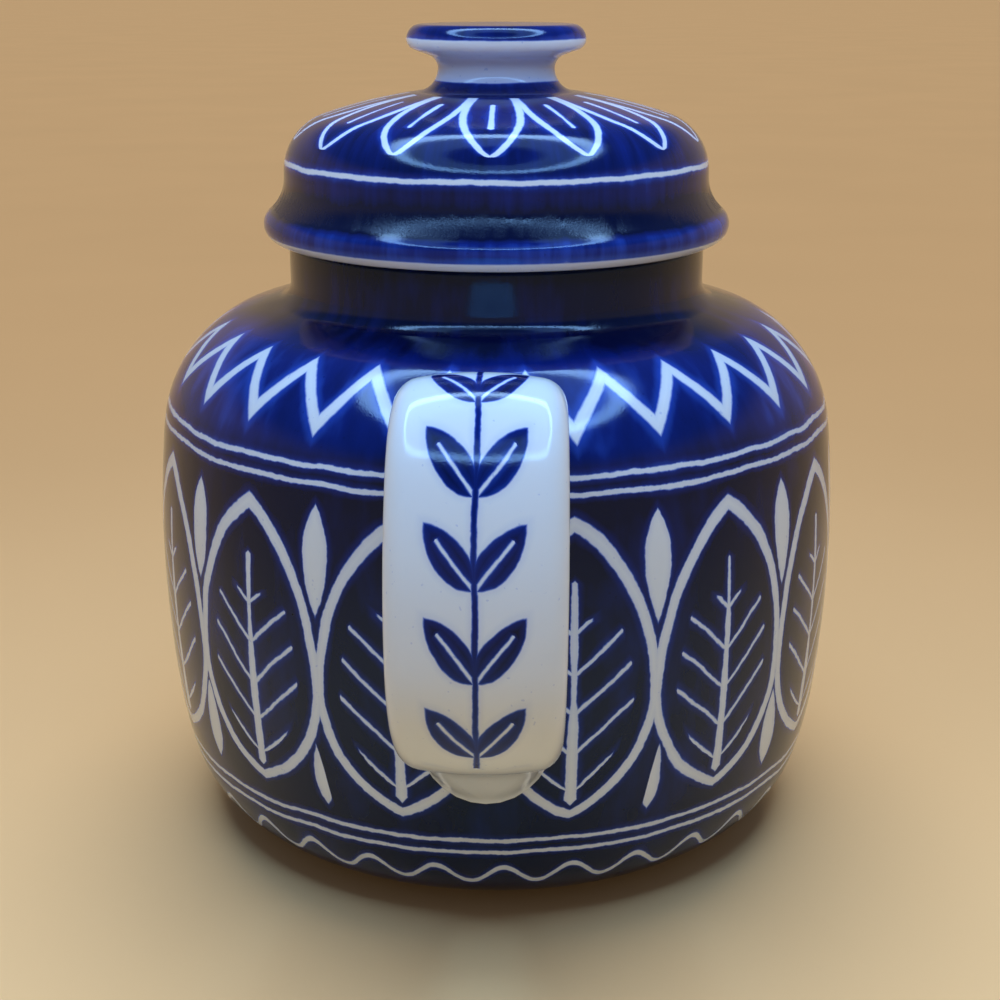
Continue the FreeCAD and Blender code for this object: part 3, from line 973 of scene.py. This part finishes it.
def paint_spout(finish, total):
    """White spout with a cobalt collar round the joint, a laurel on each face, a fine line and a cobalt lip."""
    sprig_start, sprig_end, line_place, lip = 29.0, total - 12.5, total - 9.0, total - 6.0
    collar_radius = 78.4
    along = finish.along + wobble(finish, 8.0)
    girth = (total - finish.along) * 0.75 + 33.0
    sprig = laurel(repeated(finish, 2, 0.5) * girth, along, sprig_start, sprig_end)
    line = 0.45 - (along - line_place).size()
    collar = collar_radius - finish.radius + wobble(finish, 11.0) * 0.6
    return sprig.most(collar).most(line).most(along - lip)


def white_finish(glaze):
    """White glaze with a faint blue cast where it runs thick."""
    finish = Finish(WHITE)
    return finish.glazed(glaze, finish.noise(40.0).soft(0.5, 0.9) * 0.03)


def clay_finish(glaze):
    """Unglazed clay: sandy and matt."""
    finish = Finish(CLAY)
    grain = finish.noise(1.2, detail=4.0)
    dark = tuple(0.72 * part for part in glaze.clay)
    shade = finish.ramp(grain, ((0.3, dark), (0.65, glaze.clay)))
    return finish.coat(shade, grain * 0.15 + 0.75, grain, 0.15)


def dress(piece, body, node):
    """Joins a piece to its body, in place of its CAD node."""
    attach(piece, body)
    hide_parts(node)


def shared(name):
    """White glaze or bare clay, made once for all the pieces."""
    make = {WHITE: white_finish, CLAY: clay_finish}[name]
    return bpy.data.materials.get(name) or make(bpy.context.scene.teapot_glaze)


class TEAPOT_OT_pot(bpy.types.Operator):
    """Turn the pot's shell and drill its strainer"""
    bl_idname = "teapot.pot"
    bl_label = "Pot"

    def execute(self, context):
        pot, glaze = context.scene.teapot_pot, context.scene.teapot_glaze
        finish = Finish("pot_glaze")
        outside_section = 3
        mark = marks(pot_sections(pot), outside_section)
        # Painted light: the cobalt is made lighter over the shoulder, from the upper banding lines to the neck,
        # where it faces the lamp above
        painted_light_above_lines = finish.along.soft(mark(94.0), mark(102.0))
        neck = finish.along.soft(mark(113.0), mark(116.5))
        strength = brushed(finish, 0.96) - painted_light_above_lines * (1.0 - neck) * 0.30
        outside = finish.glazed(glaze, finish.cobalt(paint_pot(finish, mark), strength))
        inside, foot = shared(WHITE), shared(CLAY)
        dress(build_pot(pot, (outside, inside, foot)), "pot", "pot_body")
        return {"FINISHED"}


class TEAPOT_OT_handle(bpy.types.Operator):
    """Carry the strap's section along the handle's line"""
    bl_idname = "teapot.handle"
    bl_label = "Handle"

    def execute(self, context):
        scene = context.scene
        finish = Finish("handle_glaze")
        amount = finish.cobalt(paint_handle(finish), brushed(finish, 0.92))
        outside = finish.glazed(scene.teapot_glaze, amount)
        inside = shared(WHITE)
        strap = build_handle(scene.teapot_handle, scene.teapot_pot, (outside, inside))
        dress(strap, "pot", "handle")
        return {"FINISHED"}


class TEAPOT_OT_spout(bpy.types.Operator):
    """Carry a narrowing ring along the spout's line"""
    bl_idname = "teapot.spout"
    bl_label = "Spout"

    def execute(self, context):
        scene = context.scene
        finish = Finish("spout_glaze")
        total = spout_line(scene.teapot_spout).total() / MM
        amount = finish.cobalt(paint_spout(finish, total), brushed(finish, 0.92))
        outside = finish.glazed(scene.teapot_glaze, amount)
        inside = shared(WHITE)
        tube = build_spout(scene.teapot_spout, scene.teapot_pot, (outside, inside))
        dress(tube, "pot", "spout")
        return {"FINISHED"}


class TEAPOT_OT_lid(bpy.types.Operator):
    """Turn the hollow lid and drill its vent"""
    bl_idname = "teapot.lid"
    bl_label = "Lid"

    def execute(self, context):
        scene = context.scene
        lid, pot, knob = scene.teapot_lid, scene.teapot_pot, scene.teapot_knob
        finish = Finish("lid_glaze")
        outside_section = 2
        painted = paint_lid(finish, marks(lid_sections(lid, pot, knob), outside_section))
        # The cobalt breaks thin on the rim bead and pools in the hollow above it
        rim = 1.0 - finish.z.soft(135.2, 136.6)
        hollow = finish.z.soft(135.6, 137.2) - finish.z.soft(138.6, 144.0)
        # Painted light: the lid's usual cobalt strength, 0.78 against the pot's 0.96, makes the lid lighter blue
        # than the pot where it faces the lamp above
        strength = brushed(finish, 0.78, number=140) - rim * 0.20 + hollow * 0.34
        outside = finish.glazed(scene.teapot_glaze, finish.cobalt(painted, strength))
        inside, seat = shared(WHITE), shared(CLAY)
        dress(build_lid(lid, pot, knob, (outside, inside, seat)), "lid", "lid_shell")
        return {"FINISHED"}


class TEAPOT_OT_knob(bpy.types.Operator):
    """Turn the knob"""
    bl_idname = "teapot.knob"
    bl_label = "Knob"

    def execute(self, context):
        scene = context.scene
        finish = Finish("knob_glaze")
        top_edge, stem_foot = 171.1, 162.6
        height = finish.z + wobble(finish, 1.0) * 0.25
        painted = (height - top_edge).most(stem_foot - height)
        # Painted shade: a faint blue-grey tint in the waist, under the disc, stands in for the disc's shadow and
        # the blue light thrown up from the lid
        wash = (height.soft(160.0, 164.0) - height.soft(166.0, 169.5)) * 0.10
        amount = finish.cobalt(painted, brushed(finish, 0.80, number=50)) + wash
        glazed = finish.glazed(scene.teapot_glaze, amount)
        knob = build_knob(scene.teapot_knob, scene.teapot_lid, scene.teapot_pot, (glazed,))
        dress(knob, "lid", "lid_knob")
        return {"FINISHED"}


def floor_finish(stage):
    """Matt pale floor with a slow, faint change of tone."""
    finish = Finish("floor")
    grain = finish.noise(1.4, detail=3.0)
    pale = tuple(0.97 * part for part in stage.floor)
    shade = finish.ramp(finish.noise(180.0, detail=2.0), ((0.3, pale), (0.7, stage.floor)))
    return finish.coat(shade, grain * 0.1 + 0.85, grain, 0.02, gloss=0.0)


def add_ring_lamp(stage):
    """Round lamp facing down whose light comes from a soft-edged ring, a little in front of the pot."""
    lamp = bpy.data.lights.new("ring_lamp", "AREA")
    lamp.shape = "DISK"
    lamp.size = stage.ring_size
    lamp.energy = stage.ring_light
    lamp.color = stage.ring_colour
    lamp.use_nodes = True
    tree = lamp.node_tree
    spot = tree.nodes.new("ShaderNodeNewGeometry").outputs["Parametric"]
    right, ahead = (part - 0.5 for part in split(tree, spot)[:2])
    out = (right * right + ahead * ahead) ** 0.5
    # out runs from 0 in the middle to 0.5 at the lamp's edge: dark, then a faint glow, then the bright ring
    glow = out.soft(0.365, 0.41) * 0.88 + out.soft(0.17, 0.24) * 0.12
    feed(tree, tree.nodes["Emission"].inputs["Strength"], glow * (1.0 - out.soft(0.46, 0.5)))
    placed("ring_lamp", lamp).location = (0.0, -stage.ring_ahead, stage.ring_height)


def add_floor_light(stage, floor):
    """Soft light from high behind the pot that falls on the floor alone, so that the shadow lies in front."""
    lamp = bpy.data.lights.new("floor_light", "SUN")
    lamp.energy = stage.floor_light
    lamp.color = stage.floor_light_colour
    lamp.angle = stage.floor_light_spread
    stand = placed("floor_light", lamp)
    stand.rotation_euler = (stage.floor_light_height - math.pi / 2, 0.0, 0.0)
    lit = bpy.data.collections.new("lit_floor")
    lit.objects.link(floor)
    stand.light_linking.receiver_collection = lit


def add_surround(stage):
    """Pale wall all round that fades into dim even light above, by the sine of the height over the horizon."""
    world = bpy.data.worlds.new("surround")
    world.use_nodes = True
    tree = world.node_tree
    rise = split(tree, tree.nodes.new("ShaderNodeTexCoord").outputs["Generated"])[2]
    ramp = tree.nodes.new("ShaderNodeValToRGB")
    ramp.color_ramp.elements[0].color = (*stage.wall, 1.0)
    ramp.color_ramp.elements[1].color = (*stage.sky, 1.0)
    feed(tree, ramp.inputs[0], rise.soft(0.30, 0.52))
    tree.links.new(ramp.outputs[0], tree.nodes["Background"].inputs["Color"])
    bpy.context.scene.world = world


class TEAPOT_OT_stage(bpy.types.Operator):
    """Set the floor, the lamps and the camera"""
    bl_idname = "teapot.stage"
    bl_label = "Stage"

    def execute(self, context):
        scene, stage = context.scene, context.scene.teapot_stage
        far = 20.0
        corners = [(-far, -far, 0), (far, -far, 0), (far, far, 0), (-far, far, 0)]
        mesh = bpy.data.meshes.new("floor")
        mesh.from_pydata(corners, [], [(0, 1, 2, 3)])
        mesh.uv_layers.new(name=UV_NAME)
        mesh.materials.append(floor_finish(stage))
        floor = placed("floor", mesh)
        add_ring_lamp(stage)
        add_floor_light(stage, floor)
        add_surround(stage)
        camera = bpy.data.cameras.new("camera")
        camera.lens = stage.lens
        camera.sensor_width = 36.0
        camera.sensor_fit = "HORIZONTAL"
        camera.clip_start = 0.01
        stand = placed("camera", camera)
        swing, away = stage.azimuth, stage.distance
        stand.location = (away * math.sin(swing), -away * math.cos(swing), stage.height)
        stand.rotation_euler = (math.pi / 2 - stage.pitch, 0.0, swing + stage.yaw)
        scene.camera = stand
        scene.view_settings.view_transform = "Standard"
        return {"FINISHED"}


PIECES = (
    (TEAPOT_OT_pot, "teapot_pot", PotProperties),
    (TEAPOT_OT_handle, "teapot_handle", HandleProperties),
    (TEAPOT_OT_spout, "teapot_spout", SpoutProperties),
    (TEAPOT_OT_lid, "teapot_lid", LidProperties),
    (TEAPOT_OT_knob, "teapot_knob", KnobProperties),
    (TEAPOT_OT_stage, "teapot_stage", StageProperties),
    (None, "teapot_glaze", GlazeProperties),
)


class TEAPOT_PT_sidebar(bpy.types.Panel):
    """Pieces of the teapot with their sizes and colours"""
    bl_label = "Teapot"
    bl_idname = "TEAPOT_PT_sidebar"
    bl_space_type = "VIEW_3D"
    bl_region_type = "UI"
    bl_category = "Teapot"

    def draw(self, context):
        for operator, place, group in PIECES:
            box = self.layout.box()
            if operator:
                box.operator(operator.bl_idname)
            for name in group.__annotations__:
                box.prop(getattr(context.scene, place), name)


def register():
    """Makes the property groups, the operators and the panel known."""
    for operator, place, group in PIECES:
        bpy.utils.register_class(group)
        setattr(bpy.types.Scene, place, PointerProperty(type=group))
        if operator:
            bpy.utils.register_class(operator)
    bpy.utils.register_class(TEAPOT_PT_sidebar)


def unregister():
    """Takes them out again, in the opposite order."""
    bpy.utils.unregister_class(TEAPOT_PT_sidebar)
    for operator, place, group in reversed(PIECES):
        if operator:
            bpy.utils.unregister_class(operator)
        delattr(bpy.types.Scene, place)
        bpy.utils.unregister_class(group)


def main():
    register()
    bpy.ops.teapot.pot()
    bpy.ops.teapot.handle()
    bpy.ops.teapot.spout()
    bpy.ops.teapot.lid()
    bpy.ops.teapot.knob()
    bpy.ops.teapot.stage()


if __name__ == "__main__":
    main()
